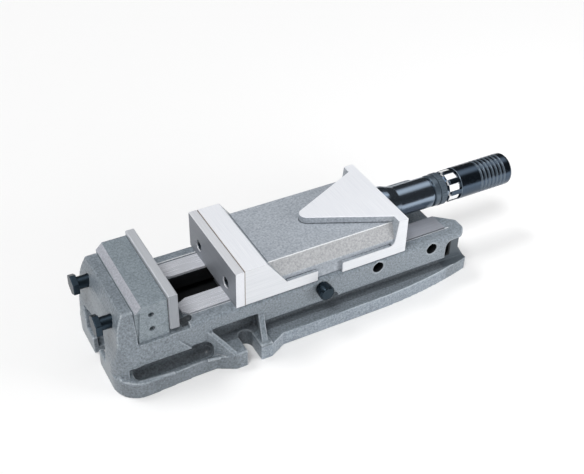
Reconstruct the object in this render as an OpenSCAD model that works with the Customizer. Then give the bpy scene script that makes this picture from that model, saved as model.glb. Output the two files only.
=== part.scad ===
// Hydraulic machine vise: ribbed bed, fixed jaw, sliding jaw on hardened ways,
// locating pin in a side hole, and a booster spindle with a claw clutch.
// +X runs from the fixed jaw to the crank end, +Z is up, -Y is the pin's side.
// The origin is below the fixed jaw's clamping face, on the base's bottom.

/* [Overall] */
// Width of both jaws
jaw_w = 160; // [125:1:200]
// Height of the jaws' top above the base
jaw_top = 147; // [125:1:180]
// Height of the guide ways above the base
way_top = 85.4; // [70:0.1:110]
// Jaw opening in the rest pose
rest_open = 85; // [10:1:100]
// Height of the spindle's axis above the base
spindle_z = 115; // [105:0.5:140]
// Distance between two pin holes, which is one opening range
hole_pitch = 97.3; // [80:0.1:120]

/* [Bed casting] */
// Bed ahead of the fixed jaw's face
bed_front = 98; // [85:1:120]
// Bed behind the fixed jaw's face
bed_rear = 493; // [440:1:560]
// Half width of the base flange
flange_half_w = 97; // [85:0.5:120]
// Thickness of the base flange
flange_t = 24; // [16:0.5:35]
// Half width of the web below the side walls
web_half_w = 66; // [55:0.5:80]
// Half width over the side walls
wall_half_w = 81; // [70:0.5:100]
// Height of the side walls' lower edge
wall_edge_z = 43.5; // [35:0.5:60]
// Rounding along the side walls' top
wall_round_r = 8; // [4:0.5:12]
// Half width of the channel between the ways
channel_half_w = 26; // [20:0.5:35]
// Half width of the tee space below the ways
tee_half_w = 46; // [38:0.5:55]
// Height of the tee space's floor
tee_floor_z = 44; // [35:0.5:50]
// Height of the tee space's ceiling
tee_top_z = 57; // [52:0.5:62]
// Length of the side walls past the fixed jaw's face
wall_rear = 482; // [430:1:540]
// Rounding of the side walls' rear corners
wall_corner_r = 16; // [8:1:24]
// Start of the hook-shaped cut at the rear of each side
hook_x = 445; // [400:1:480]
// Height of the tongue above that cut
hook_top_z = 75; // [66:0.5:80]
// Corner radius of that cut
hook_r = 12; // [6:0.5:16]
// Rear end of the web below that tongue
web_rear_top = 463; // [440:1:480]
// Length of the flange's taper at the rear
rear_taper_l = 183; // [120:1:240]
// Narrowing of the flange at its rear end on each side
rear_taper_w = 22; // [10:1:35]

/* [Clamping slots] */
// Width of the clamping slots
slot_w = 21; // [14:0.5:26]
// Middle of the side slots behind the fixed jaw's face
side_slot_x = 98.6; // [80:0.1:120]
// Reach of the side slots' round end from the middle plane
side_slot_in = 69; // [64:0.5:80]
// Half width of the base over the lobes at the side slots
lobe_half_w = 110; // [100:0.5:125]
// Thickness of the lobes
lobe_t = 28.6; // [20:0.1:36]
// Length of the lobes' flat outer edge
lobe_l = 58; // [40:1:80]
// Length of a lobe's slanted edge along the bed
lobe_slope_l = 24; // [10:1:40]
// Ends of the pocket above a side slot, ahead of the slot's middle
pocket_front_l = 56; // [40:1:70]
// End of the pocket behind the slot's middle
pocket_rear_l = 20; // [18:1:40]
// Run of the front rib along the bed, from the wall to the lobe's edge
rib_run = 28; // [15:1:40]
// Lean of the rear rib toward the slot
rib_lean = 6; // [0:1:15]
// Height of the pocket above a side slot
pocket_top_z = 62; // [50:0.5:70]
// Half width left at the pocket's back wall
pocket_half_w = 62; // [58:0.5:70]
// Thickness of the ribs beside the pocket
rib_t = 9; // [5:0.5:12]
// Depth of the slot in the front end
front_slot_l = 30; // [20:1:40]
// Width of the slot in the front end
front_slot_w = 24; // [18:0.5:30]
// Width of the opening above the front slot
mouth_w = 92; // [70:1:110]
// Height of the opening above the front slot
mouth_h = 41.5; // [30:0.5:45]
// Depth of the pocket behind that opening
mouth_l = 34; // [20:1:34]
// Thickness of the rim in front of that pocket
rim_t = 7; // [4:0.5:12]
// Height of that pocket's floor
mouth_floor_z = 10; // [6:1:20]
// Length of the raised lip in front of the flange
lip_l = 20; // [10:1:30]
// Length of the slope behind that lip
lip_slope_l = 55; // [30:1:70]

/* [Fixed jaw and buttress] */
// Thickness of both jaw plates
plate_t = 13.5; // [8:0.5:20]
// Lower edge of the fixed jaw plate
fixed_plate_z = 88; // [84:0.5:96]
// Height of the fixed jaw block
block_top = 141.3; // [125:0.1:170]
// Length of the fixed jaw block
block_l = 47; // [35:1:60]
// Half width of the fixed jaw block
block_half_w = 77; // [65:0.5:95]
// Bevel along the fixed jaw block's rear top edge
block_bevel = 10.3; // [4:0.1:16]
// Height of the machined seat below the fixed jaw block
seat_z = 79; // [70:0.5:84]
// Height of the buttress behind the fixed jaw block
buttress_top = 131.2; // [115:0.1:150]
// Length of the buttress's top
buttress_l = 17.5; // [12:0.5:30]
// Half width of the buttress at its top
buttress_half_w = 71; // [60:0.5:85]
// Half width of the front end above the flange
nose_half_w = 85; // [75:0.5:100]
// Half width of the flange at the front end
nose_flange_half_w = 101; // [90:0.5:115]
// Rounding of the flange's front corners
nose_flange_r = 38; // [20:1:45]
// Rounding of the front end's corners
nose_r = 26; // [20:1:45]
// Radius of the front end of the recess under the walls
recess_r = 16; // [8:1:20]
// Depth of the slanted relief on the fixed jaw's sides
relief_d = 2.5; // [1:0.5:5]
// Radius of the two tapped holes in each side of the fixed jaw
stop_hole_r = 4; // [2.5:0.1:6]
// Distance between those two holes
stop_pitch = 25; // [15:0.5:35]
// Middle between those holes behind the block's front
stop_x = 24.5; // [15:0.5:35]
// Height of the middle between those holes
stop_z = 110.5; // [100:0.5:125]
// Depth of those holes
stop_depth = 14; // [8:1:25]
// Distance of each tie bolt from the middle plane
tie_y = 46.5; // [35:0.5:60]
// Height of the tie bolts
tie_z = 107.4; // [95:0.1:120]
// Shank radius of the tie bolts
tie_r = 9.5; // [6:0.5:12]
// Distance across the flats of the tie bolts' heads
tie_af = 28; // [18:1:36]
// Thickness of the tie bolts' heads
tie_head_t = 9; // [6:0.5:14]
// Bare shank between the head and the buttress
tie_bare_l = 14; // [4:0.5:25]
// Reach of the tie bolts into the fixed jaw block
tie_reach = 24; // [15:1:32]

/* [Ways and moving jaw] */
// Outer half width of the guide ways
way_half_w = 58; // [50:0.5:66]
// Thickness of the hardened guide ways
way_t = 4; // [3:0.5:8]
// Start of the channel behind the fixed jaw's face
channel_front = 10; // [5:1:14]
// Start of the guide ways behind the fixed jaw's face
way_front = 15; // [5:1:25]
// End of the guide ways
way_rear = 455; // [420:1:480]
// Length of the bevel on the guide ways' front corners
way_cut_l = 15; // [5:1:25]
// Width of that bevel
way_cut_w = 8; // [3:1:12]
// Radius of the round ends of the fixed jaw's seat in the side walls
seat_end_r = 8; // [5:0.5:10]
// Width that the channel gains on each side toward its rear end
flare_w = 24; // [10:1:30]
// Width of the gap beside each guide way
way_gap = 2.5; // [1:0.5:5]
// Length of the moving jaw casting
jaw_l = 268.5; // [240:0.5:320]
// Length of the ground band across the jaw's front
band_l = 35.5; // [25:0.5:50]
// Slope of the band's rear edge, length per height
band_slope_share = 0.72; // [0.4:0.01:0.9]
// Height of the recessed panel on the jaw
panel_z = 135.7; // [125:0.1:142]
// Distance of the recessed panel's edges from the jaw's sides
panel_inset = 16.5; // [5:0.5:30]
// Height of the lower edge of the jaw's slanted side
side_edge_z = 112.8; // [108:0.1:120]
// Distance of that edge from the jaw's side
side_edge_inset = 3.3; // [1:0.1:10]
// Distance of the face below that edge from the jaw's side
side_back_inset = 6.5; // [4:0.5:12]
// Top of the ground strips along the jaw's sides
strip_z = 103.3; // [98:0.1:108]
// Length of the ground strip along the jaw's rear
rear_strip_l = 16; // [10:0.5:25]
// Lean of that strip's inner face
rear_strip_lean = 4; // [0:0.5:6]
// Corner radius between the rear and the side strip
strip_r = 10; // [4:0.5:15]
// Start of the gap in the side strips, behind the jaw plate's face
strip_gap_x = 131; // [110:1:150]
// Length of that gap
strip_gap_l = 41; // [30:1:60]
// Distance of the arrow-shaped land's tip from the jaw plate's face
arrow_x = 143; // [130:1:180]
// Radius of that tip
arrow_r = 11; // [5:0.5:20]
// Slope of the arrow's edges, width per length
arrow_slope_share = 0.47; // [0.3:0.01:0.5]
// Half width of the space for the nut carrier below the jaw
cavity_half_w = 27.5; // [26:0.5:35]
// Top of that space
cavity_top = 131; // [125:0.5:133]
// Half width of the keys between the ways
key_half_w = 25.6; // [19:0.1:34]
// Distance of the hold-down screws from the middle plane
hold_screw_y = 19.5; // [16:0.5:20]
// Half width of the hold-down plates
hold_half_w = 44; // [36:0.5:50]
// Thickness of the hold-down plates
hold_t = 9.5; // [6:0.5:12]
// Space between the front key and the jaw plate's face
key_inset = 15; // [10:1:20]
// Distance of each plate screw from the middle plane
screw_y = 46.5; // [35:0.5:60]
// Height of the plate screws
screw_z = 108.2; // [100:0.1:120]
// Shank radius of the plate screws
screw_r = 5; // [4:0.5:7]
// Head radius of the plate screws
screw_head_r = 8; // [6:0.5:11]
// Height of the plate screws' heads
screw_head_h = 9; // [6:0.5:12]
// Thread length of the plate screws in the castings
screw_reach = 16; // [10:1:25]
// Closed end of the jaw's travel, short of the plates' contact
shut_gap = 0.4; // [0.3:0.1:1]
// Largest jaw opening with the pin in the first hole
max_open = 104.5; // [100:0.5:110]

/* [Nut carrier and locating pin] */
// First pin hole behind the fixed jaw's face
pin_x = 223; // [200:0.5:240]
// Height of the pin holes
pin_z = 71; // [66:0.5:74]
// Radius of the pin holes
pin_hole_r = 9; // [7:0.1:11]
// Length of the nut carrier
carrier_l = 56; // [45:1:64]
// Radius of the pin's knob
knob_r = 12; // [9:0.5:16]
// Length of the pin's knob
knob_l = 17; // [10:0.5:25]
// Reach of the pin past the middle plane
pin_reach = 52; // [45:1:56]
// Outer radius of the nut
nut_r = 13.2; // [12:0.1:15]
// Radius of the scallop in the side wall's lower edge beside the pin
scallop_r = 11; // [7:0.5:15]
// Distance of that scallop behind the pin
scallop_x = 18; // [10:1:25]

/* [Booster and spindle] */
// Radius of the booster tube
tube_r = 24.8; // [20:0.1:30]
// Inner radius of the booster tube
tube_bore_r = 19; // [17:0.1:22]
// Length of the tube inside the jaw's rear wall
tube_seat_l = 22; // [15:1:26]
// Length of the tube behind the jaw
tube_l = 89; // [70:1:120]
// Radius of the collar round the tube at the jaw
collar_r = 31; // [27:0.5:36]
// Length of that collar
collar_l = 27; // [15:1:35]
// Length of the neck behind the tube
neck_l = 3; // [2:0.5:6]
// Radius of the neck
neck_r = 22.8; // [20:0.1:24]
// Length of the end ring
end_ring_l = 10; // [6:0.5:14]
// Length of the preset ring
preset_l = 11.5; // [8:0.5:16]
// Radius of the preset ring
preset_r = 26; // [24:0.1:30]
// Number of grips on the preset ring
preset_grips = 36; // [18:1:60]
// Radius of the lead screw
screw_shaft_r = 10; // [8:0.5:11]
// Radius of the spindle behind the thrust bearing
spindle_r = 14; // [12:0.5:16]

/* [Clutch and sleeve] */
// Length of the claw hub's flange
hub_flange_l = 4; // [3:0.5:6]
// Radius of the claw hub's flange
hub_flange_r = 22; // [20:0.5:25]
// Radius of the claw hub between its claws
hub_r = 19.7; // [17:0.1:21]
// Length of the claws
claw_l = 19; // [10:0.5:25]
// Radius over the claws
claw_r = 25; // [23:0.1:27]
// Number of claws
claws = 8; // [3:1:10]
// Width of one claw
claw_deg = 25; // [15:1:30]
// Width of one finger of the sleeve
finger_deg = 18; // [10:1:28]
// Turn of the claws in the rest pose, from the +Y side
clutch_turn = 18.5; // [0:0.5:45]
// Gap between the hub's flange and the fingers
finger_gap = 4; // [1:0.5:8]
// Radius of the drive sleeve
sleeve_r = 26.2; // [24:0.1:32]
// Length of the drive sleeve with its fingers
sleeve_l = 120; // [90:1:150]
// Rounding of the drive sleeve's end
sleeve_round_r = 6; // [3:0.5:10]
// Number of grip grooves
grooves = 7; // [4:1:10]
// Distance between two grip grooves
groove_pitch = 7.4; // [5:0.1:10]
// Width of a grip groove
groove_w = 3.4; // [2:0.1:6]
// Depth of a grip groove
groove_d = 1.2; // [0.6:0.1:2.5]
// Distance of the first grip groove behind the sleeve's front
groove_x = 57; // [40:1:80]
// Distance across the flats of the crank's socket
socket_af = 17; // [12:0.5:22]
// Depth of the crank's socket
socket_l = 9; // [6:0.5:12]

/* [Hidden] */
// Fineness of round surfaces
$fn = 72;
// Overrun of every cut past the face it opens
cut = 1;
// Space between pieces that move past each other
slide_gap = 0.3;
// Radial clearance of a shaft in its bore
run_fit = 0.05;
// Small bevel on machined edges
edge = 1;
// Where the moving jaw plate's face is at rest
jaw_x = rest_open;
// Rear face of the moving jaw plate and front of the jaw casting
cast_x = jaw_x + plate_t;
// Rear face of the jaw casting
cast_end = cast_x + jaw_l;
// Lowest face of the jaw casting
jaw_z = way_top + slide_gap;
// Front of the fixed jaw block
block_x = -plate_t;
// Rear of the fixed jaw block
block_rear = block_x - block_l;
// Rear of the buttress's top
buttress_x = block_rear - buttress_l;
// Height of the castings' way seats
way_seat = way_top - way_t;
// Inner half width of the side walls above the seats
wall_in = way_half_w + way_gap;
// Corner to middle of a hexagon, per half distance across its flats
hex_share = 1 / cos(180 / 6);
// Height of the keys' lower face
key_z = tee_top_z - slide_gap;
// Front end of the nut carrier
carrier_x = pin_x - carrier_l / 2;
// Top of the nut carrier
carrier_top = cavity_top - edge / 2;
// Space left between the carrier and the jaw's walls at both ends of the travel
stop_gap = 2.5;
// Ends of the space for the carrier, behind the jaw plate's face
cavity_x = carrier_x - max_open - stop_gap;
cavity_end_x = carrier_x + carrier_l - shut_gap + stop_gap;
// Ends of the front and rear keys behind the jaw plate's face
key_ends = [[key_inset, cavity_x], [cavity_end_x, cavity_end_x + key_half_w]];
// Stations along the spindle, each from the one before
tube_x = cast_end - tube_seat_l;
neck_x = cast_end + tube_l;
end_ring_x = neck_x + neck_l;
preset_x = end_ring_x + end_ring_l;
hub_x = preset_x + preset_l + slide_gap;
claw_x = hub_x + hub_flange_l;
sleeve_x = claw_x + finger_gap;
sleeve_end = sleeve_x + sleeve_l;
sleeve_body_x = claw_x + claw_l + finger_gap;
// Thrust bearing in the front of the tube
washer_t = 2.5;
ball_r = 2.5;
balls = 14;
ball_pitch_r = (tube_bore_r + spindle_r) / 2 - edge;
bearing_x = tube_x;
bearing_l = 2 * washer_t + 2 * ball_r;
// Seal round the spindle at the tube's end
seal_l = 5;
// Hollow of the spindle and the booster's parts in it
booster_r = 8;
booster_x = bearing_x + bearing_l + seal_l;
plunger_l = 30;
disc_t = 1.6;
disc_dish = 1.5;
disc_pairs = 4;
disc_pair_l = 2 * (disc_t + disc_dish + run_fit);
// Inside of the sleeve behind the hub
sleeve_bore_r = hub_r + run_fit;
hub_tail_l = 28;
hub_end = sleeve_body_x + hub_tail_l;
web_l = 6;
web_x = hub_end + edge;
well_x = web_x + web_l;
well_r = 16;
socket_x = sleeve_end - socket_l;
stud_r = 5;
stud_plug_l = 20;
stud_head_r = 11;
stud_head_l = 3.5;
spring_wire_r = 0.9;
spring_r = 8.5;
spring_turns = 6;
turn_steps = 12;
wire_sides = 6;
// The spring lets the sleeve's fingers travel out of the claws before its turns meet
sleeve_travel = claw_l - finger_gap + edge;
spring_l = sleeve_travel + 2 * spring_wire_r * (spring_turns + 1) + edge;
stud_head_x = well_x + spring_l;
// Hold-down screws
hold_screw_r = 4;
hold_head_r = 6.5;
hold_head_h = 6;
hold_reach = 7;
// Socket heads of all cap screws, as shares of the head's radius and height
key_share = 0.55;
key_deep_share = 0.5;
// Outline of the front end, as shares of its length and height
nose_x_share = [1, 1, 0.94, 0.82, 0.7, 0.6, 0.54, 0.48, 0.37, 0.2, 0];
nose_z_share = [0, 0.3, 0.38, 0.46, 0.54, 0.62, 0.7, 0.78, 0.86, 0.93, 1];
// Part of that length by which the tie bolts' seats lie ahead of the buttress's top
tie_seat_share = 0.43;
// Slanted relief on the fixed jaw, its length at the top and at the bottom
relief_top_l = 7;
relief_low_l = 2;
// Opening above the front slot, as shares of its width and height
mouth_share = [[-0.45, 0], [0.41, 0], [0.44, 0.32], [0.5, 0.52], [0.576, 0.745], [0.4, 0.82],
               [0.21, 0.91], [-0.26, 1], [-0.35, 0.82], [-0.43, 0.54]];
// Grip groove of the sleeve, as shares of its width and depth
groove_share = [[0, 0], [0.3, 1], [0.7, 1], [1, 0]];
// Steps in the curve of the flange's taper and in half of the arrow's tip
taper_steps = 6;
tip_steps = 6;
// Wide part of the pin's knob and the collar's cylindrical part, as shares of their lengths
rim_share = 0.65;
collar_share = 0.33;
// Bore of the jaw for the spindle's front end
nose_bore_l = 27.5;
// Height above which the front end's sides lean in
nose_lean_z = 60;

module mirror_y()
{
    children();
    mirror([0, 1, 0]) children();
}

// A YZ outline drawn out along X, from x to x + l
module along_x(x, l)
{
    translate([x, 0, 0]) rotate([90, 0, 90]) linear_extrude(l) children();
}

// An XZ outline drawn out along Y, over the half width w on both sides
module across_y(w)
{
    translate([0, w, 0]) rotate([90, 0, 0]) linear_extrude(2 * w) children();
}

module box(x0, x1, half_w, z0, z1)
{
    translate([x0, -half_w, z0]) cube([x1 - x0, 2 * half_w, z1 - z0]);
}

module rod_x(x, l, r)
{
    translate([x, 0, 0]) rotate([0, 90, 0]) cylinder(h = l, r = r);
}

// A round profile about X, drawn as [x, r] points
module turned(points)
{
    rotate([0, 90, 0]) rotate_extrude() polygon([for (p = points) [p[1], p[0]]]);
}

module on_spindle()
{
    translate([0, 0, spindle_z]) children();
}

module hex_x(x, l, af)
{
    translate([x, 0, 0]) rotate([0, 90, 0]) cylinder(h = l, r = af / 2 * hex_share, $fn = 6);
}

// A socket-head cap screw along X, its head's outer face at x = 0
module cap_screw_x(head_r, head_h, r, l)
{
    difference() {
        union() {
            rod_x(0, head_h, head_r);
            rod_x(0, l, r);
        }
        hex_x(-cut, head_h * key_deep_share + cut, 2 * head_r * key_share);
    }
}

module at_plate_screws()
{
    for (side = [-1, 1]) translate([0, side * screw_y, screw_z]) children();
}

// One jaw plate with its two counterbored holes, its working face at x = 0
module jaw_plate(z0)
{
    h = jaw_top;
    difference() {
        across_y(jaw_w / 2) polygon([
            [0, z0], [plate_t, z0], [plate_t, h - edge], [plate_t - edge, h],
            [edge, h], [0, h - edge]]);
        at_plate_screws() rod_x(-cut, plate_t + 2 * cut, screw_r + slide_gap);
        at_plate_screws() rod_x(-cut, screw_head_h + edge + cut, screw_head_r + edge);
    }
}

module plate_screws()
{
    at_plate_screws() translate([edge, 0, 0])
        cap_screw_x(screw_head_r, screw_head_h, screw_r, plate_t - edge + screw_reach);
}

module plate_screw_holes(x)
{
    at_plate_screws() rod_x(x - cut, screw_reach + cut, screw_r);
}

// Plan outline with round corners at its +X end
module round_end_plan(x0, x1, half_w, r)
{
    translate([x0, -half_w]) square([x1 - r - x0, 2 * half_w]);
    translate([x0, r - half_w]) square([x1 - x0, 2 * (half_w - r)]);
    for (side = [-1, 1]) translate([x1 - r, side * (half_w - r)]) circle(r);
}

// One half of the flange's outline, from the front end to the rear
module flange_half()
{
    lobe_x = side_slot_x - lobe_l / 2;
    taper_x = bed_rear - rear_taper_l;
    polygon(concat(
        [[nose_flange_r - bed_front, 0], [nose_flange_r - bed_front, nose_flange_half_w],
         [way_front, flange_half_w], [lobe_x - lobe_slope_l, flange_half_w],
         [lobe_x, lobe_half_w], [lobe_x + lobe_l, lobe_half_w],
         [lobe_x + lobe_l + lobe_slope_l, flange_half_w]],
        [for (t = [0 : 1 / taper_steps : 1])
            [taper_x + rear_taper_l * t, flange_half_w - rear_taper_w * t * t]],
        [[bed_rear, 0]]));
}

module flange_plan()
{
    mirror_flat() flange_half();
    mirror([1, 0]) round_end_plan(bed_front - nose_flange_r - edge, bed_front,
                                  nose_flange_half_w, nose_flange_r);
}

// Raised front lip of the flange, sloping down to its normal thickness
module front_lip()
{
    intersection() {
        linear_extrude(lobe_t) flange_plan();
        across_y(nose_flange_half_w) polygon([
            [-bed_front, 0], [-bed_front, lobe_t], [lip_l - bed_front, lobe_t],
            [lip_l + lip_slope_l - bed_front, flange_t], [lip_l + lip_slope_l - bed_front, 0]]);
    }
}

module mirror_flat()
{
    children();
    mirror([0, 1]) children();
}

// Cross section of one side of the upper bed, rounded along the wall's top
module wall_section()
{
    h = way_top - wall_edge_z;
    translate([0, wall_edge_z]) square([wall_half_w - wall_round_r, h]);
    translate([0, wall_edge_z]) square([wall_half_w, h - wall_round_r]);
    translate([wall_half_w - wall_round_r, way_top - wall_round_r]) circle(wall_round_r);
}

module side_walls()
{
    intersection() {
        along_x(block_x, wall_rear - block_x) {
            wall_section();
            mirror([1, 0]) wall_section();
        }
        linear_extrude(way_top + cut)
            round_end_plan(block_x, wall_rear, wall_half_w, wall_corner_r);
    }
    across_y(web_half_w) polygon([
        [block_x, 0], [block_x, hook_top_z], [web_rear_top, hook_top_z],
        [bed_rear, flange_t], [bed_rear, 0]]);
}

// Front end with the buttress, slanted in front and at its sides
module front_end()
{
    l = bed_front + buttress_x;
    intersection() {
        across_y(nose_half_w) polygon(concat(
            [for (i = [0 : len(nose_x_share) - 1])
                [buttress_x - l * nose_x_share[i], buttress_top * nose_z_share[i]]],
            [[block_rear, buttress_top], [block_rear, seat_z], [block_x, seat_z],
             [way_front, wall_edge_z], [way_front, 0]]));
        along_x(-bed_front, bed_front + way_front) polygon([
            [nose_half_w, 0], [nose_half_w, nose_lean_z], [buttress_half_w, buttress_top],
            [-buttress_half_w, buttress_top], [-nose_half_w, nose_lean_z], [-nose_half_w, 0]]);
        linear_extrude(buttress_top) mirror([1, 0])
            round_end_plan(-way_front, bed_front, nose_half_w, nose_r);
    }
}

// Lobe beside one side slot
module side_lobe()
{
    lobe_x = side_slot_x - lobe_l / 2;
    linear_extrude(lobe_t) polygon([
        [lobe_x - rib_t, pocket_half_w], [lobe_x - rib_t, flange_half_w], [lobe_x, lobe_half_w],
        [lobe_x + lobe_l, lobe_half_w], [lobe_x + lobe_l, pocket_half_w]]);
}

// Ribs that run from the wall down to the lobe, ahead of a side slot and behind it
module side_ribs()
{
    out_l = flange_half_w + rib_t - wall_half_w;
    rib([side_slot_x - pocket_front_l, wall_half_w], [rib_run, out_l]);
    rib([side_slot_x + pocket_rear_l + rib_t / 2, wall_half_w], [-rib_lean, out_l]);
}

// One rib from the wall's foot at start, with its top sloping down along run
module rib(start, run)
{
    l = norm(run);
    back = wall_half_w - pocket_half_w;
    intersection() {
        translate(start) rotate([0, 0, atan2(run[1], run[0])])
            translate([0, rib_t / 2, 0]) rotate([90, 0, 0]) linear_extrude(rib_t)
                polygon([[-back, flange_t], [l, flange_t], [l, lobe_t], [0, pocket_top_z],
                         [-back, pocket_top_z]]);
        translate([0, pocket_half_w, 0]) cube([bed_rear, lobe_half_w, way_top]);
    }
}

// Recess under the side wall ahead of the slot and the pocket above the slot
module side_hollows()
{
    recess_x = buttress_x + recess_r;
    h = wall_edge_z - flange_t;
    out_w = lobe_half_w - web_half_w + cut;
    translate([0, web_half_w, flange_t]) {
        translate([recess_x, 0, 0])
            cube([side_slot_x - pocket_front_l - recess_x, out_w, h]);
        translate([recess_x, recess_r, 0]) cylinder(h = h, r = recess_r);
        translate([recess_x - recess_r, recess_r, 0]) cube([2 * recess_r, out_w, h]);
    }
    translate([side_slot_x - pocket_front_l, pocket_half_w, lobe_t])
        cube([pocket_front_l + pocket_rear_l, out_w, pocket_top_z - lobe_t]);
}

// Side slot through the base, and the round end of the fixed jaw's seat
module side_slot()
{
    mid_y = side_slot_in + slot_w / 2;
    translate([side_slot_x, mid_y, -cut]) cylinder(h = pocket_top_z, r = slot_w / 2);
    translate([side_slot_x - slot_w / 2, mid_y, -cut])
        cube([slot_w, lobe_half_w, pocket_top_z]);
    translate([way_front, wall_in + seat_end_r / 2, seat_z])
        cylinder(h = way_top, r = seat_end_r);
}

// Hook-shaped cut in the side wall's rear end
module hook_cut()
{
    l = wall_rear - hook_x + cut;
    h = hook_top_z - wall_edge_z + cut;
    translate([0, web_half_w + l, 0]) rotate([90, 0, 0]) linear_extrude(l) {
        translate([hook_x + hook_r, wall_edge_z - cut]) square([l, h]);
        translate([hook_x, wall_edge_z - cut]) square([l, h - hook_r]);
        translate([hook_x + hook_r, hook_top_z - hook_r]) circle(hook_r);
    }
}

// Channel between the ways with the tee space under them, open at the rear
module channel()
{
    end = bed_rear + cut;
    box(channel_front, end, channel_half_w, tee_floor_z, way_top + cut);
    box(channel_front, end, tee_half_w, tee_floor_z, tee_top_z);
    box(way_front, way_rear, wall_in, way_seat, way_top + cut);
    box(block_rear, way_front, nose_half_w, seat_z, buttress_top + cut);
    translate([0, 0, tee_floor_z]) linear_extrude(way_top) polygon([
        [way_rear, channel_half_w], [wall_rear, channel_half_w + flare_w],
        [end, channel_half_w + flare_w], [end, -channel_half_w - flare_w],
        [wall_rear, -channel_half_w - flare_w], [way_rear, -channel_half_w]]);
}

module pin_holes()
{
    for (i = [0 : 2]) translate([pin_x + i * hole_pitch, -wall_half_w - cut, pin_z])
        rotate([-90, 0, 0]) cylinder(h = wall_half_w + cut + way_half_w, r = pin_hole_r);
    translate([pin_x + scallop_x, -web_half_w, wall_edge_z - edge]) rotate([90, 0, 0])
        cylinder(h = wall_half_w, r = scallop_r);
}

module front_slot()
{
    mid_x = front_slot_l - bed_front - front_slot_w / 2;
    translate([mid_x, 0, -cut]) cylinder(h = lobe_t + mouth_h / 2, r = front_slot_w / 2);
    translate([-bed_front - cut, -front_slot_w / 2, -cut])
        cube([mid_x + bed_front + cut, front_slot_w, lobe_t + mouth_h / 2]);
    near = mouth_share[0];
    far = mouth_share[1];
    along_x(-bed_front - cut, mouth_l + cut) translate([0, lobe_t])
        polygon([for (p = mouth_share) [mouth_w * p[0], mouth_h * p[1]]]);
    translate([rim_t - bed_front, mouth_w * near[0], mouth_floor_z])
        cube([mouth_l - rim_t, mouth_w * (far[0] - near[0]), lobe_t]);
}

module at_tie_bolts()
{
    for (side = [-1, 1]) translate([0, side * tie_y, tie_z]) children();
}

module bed_casting()
{
    color("#8d989c") difference() {
        union() {
            difference() {
                union() {
                    linear_extrude(flange_t) flange_plan();
                    side_walls();
                    front_end();
                    mirror_y() side_lobe();
                }
                mirror_y() side_hollows();
            }
            front_lip();
            mirror_y() side_ribs();
        }
        mirror_y() {
            side_slot();
            hook_cut();
        }
        channel();
        pin_holes();
        front_slot();
        at_tie_bolts() rod_x(-bed_front, bed_front, tie_r);
    }
}

module guide_ways()
{
    color("#d5d8de") mirror_y() translate([0, 0, way_seat]) linear_extrude(way_t) polygon([
        [way_front, channel_half_w + way_cut_w], [way_front + way_cut_l, channel_half_w],
        [way_rear, channel_half_w], [way_rear, way_half_w],
        [way_front + seat_end_r, way_half_w], [way_front, way_half_w - way_cut_w]]);
}

module fixed_jaw()
{
    color("#949fa3") difference() {
        across_y(block_half_w) polygon([
            [block_rear, seat_z], [block_x, seat_z], [block_x, block_top],
            [block_rear + block_bevel, block_top], [block_rear, block_top - block_bevel]]);
        mirror_y() translate([0, block_half_w + cut, 0]) rotate([90, 0, 0])
            linear_extrude(relief_d + cut) polygon([
                [block_rear - edge, seat_z - edge], [block_rear + relief_low_l, seat_z - edge],
                [block_rear + relief_top_l, block_top - block_bevel],
                [block_rear - edge, block_top - block_bevel]]);
        mirror_y() for (k = [-1, 1])
            translate([block_x - stop_x, block_half_w + cut, stop_z + k * stop_pitch / 2])
                rotate([90, 0, 0]) cylinder(h = stop_depth + cut, r = stop_hole_r);
        at_tie_bolts() rod_x(block_rear - cut, tie_reach + cut, tie_r);
        mirror([1, 0, 0]) plate_screw_holes(plate_t);
    }
}

module fixed_jaw_plate()
{
    color("#b9bcc4") mirror([1, 0, 0]) jaw_plate(fixed_plate_z);
}

module fixed_plate_screws()
{
    color("#23292d") mirror([1, 0, 0]) plate_screws();
}

module tie_bolts()
{
    face_x = buttress_x - (bed_front + buttress_x) * tie_seat_share - tie_bare_l;
    color("#1f2b33") at_tie_bolts() {
        hex_x(face_x - tie_head_t, tie_head_t, tie_af);
        rod_x(face_x - edge, block_rear + tie_reach - face_x + edge, tie_r);
    }
}

// Ground lands of the moving jaw: front band and rear strip with side strips
module front_land()
{
    band_x = cast_x + band_l;
    across_y(jaw_w / 2) polygon([
        [cast_x, jaw_z], [cast_x, jaw_top], [band_x, jaw_top],
        [band_x + (jaw_top - strip_z) * band_slope_share, strip_z],
        [jaw_x + strip_gap_x, strip_z], [jaw_x + strip_gap_x, jaw_z]]);
}

module rear_land()
{
    top_x = cast_end - rear_strip_l;
    mid = [top_x - rear_strip_lean - strip_r, strip_z + strip_r];
    gap_end = jaw_x + strip_gap_x + strip_gap_l;
    across_y(jaw_w / 2) polygon(concat(
        [[cast_end, jaw_z], [cast_end, jaw_top], [top_x, jaw_top]],
        [for (a = [0 : -15 : -90]) mid + strip_r * [cos(a), sin(a)]],
        [[gap_end, strip_z], [gap_end, jaw_z]]));
}

// Arrow-shaped ground land on the recessed panel, with a round tip
module arrow_land()
{
    lean = atan(arrow_slope_share);
    tip = jaw_x + arrow_x + arrow_r;
    end_w = arrow_r / cos(lean) + (cast_end - tip) * arrow_slope_share;
    translate([0, 0, panel_z - cut]) linear_extrude(jaw_top - panel_z + cut) polygon(concat(
        [[cast_end, end_w]],
        [for (i = [-tip_steps : tip_steps]) let (a = 180 + i * (90 - lean) / tip_steps)
            [tip + arrow_r * cos(a), arrow_r * sin(a)]],
        [[cast_end, -end_w]]));
}

module jaw_core()
{
    side = jaw_w / 2;
    half = [[0, jaw_z], [side - side_back_inset, jaw_z], [side - side_back_inset, strip_z],
            [side - side_edge_inset, side_edge_z], [side - panel_inset, panel_z], [0, panel_z]];
    along_x(cast_x + edge, jaw_l - 2 * edge) {
        polygon(half);
        mirror([1, 0]) polygon(half);
    }
}

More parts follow.
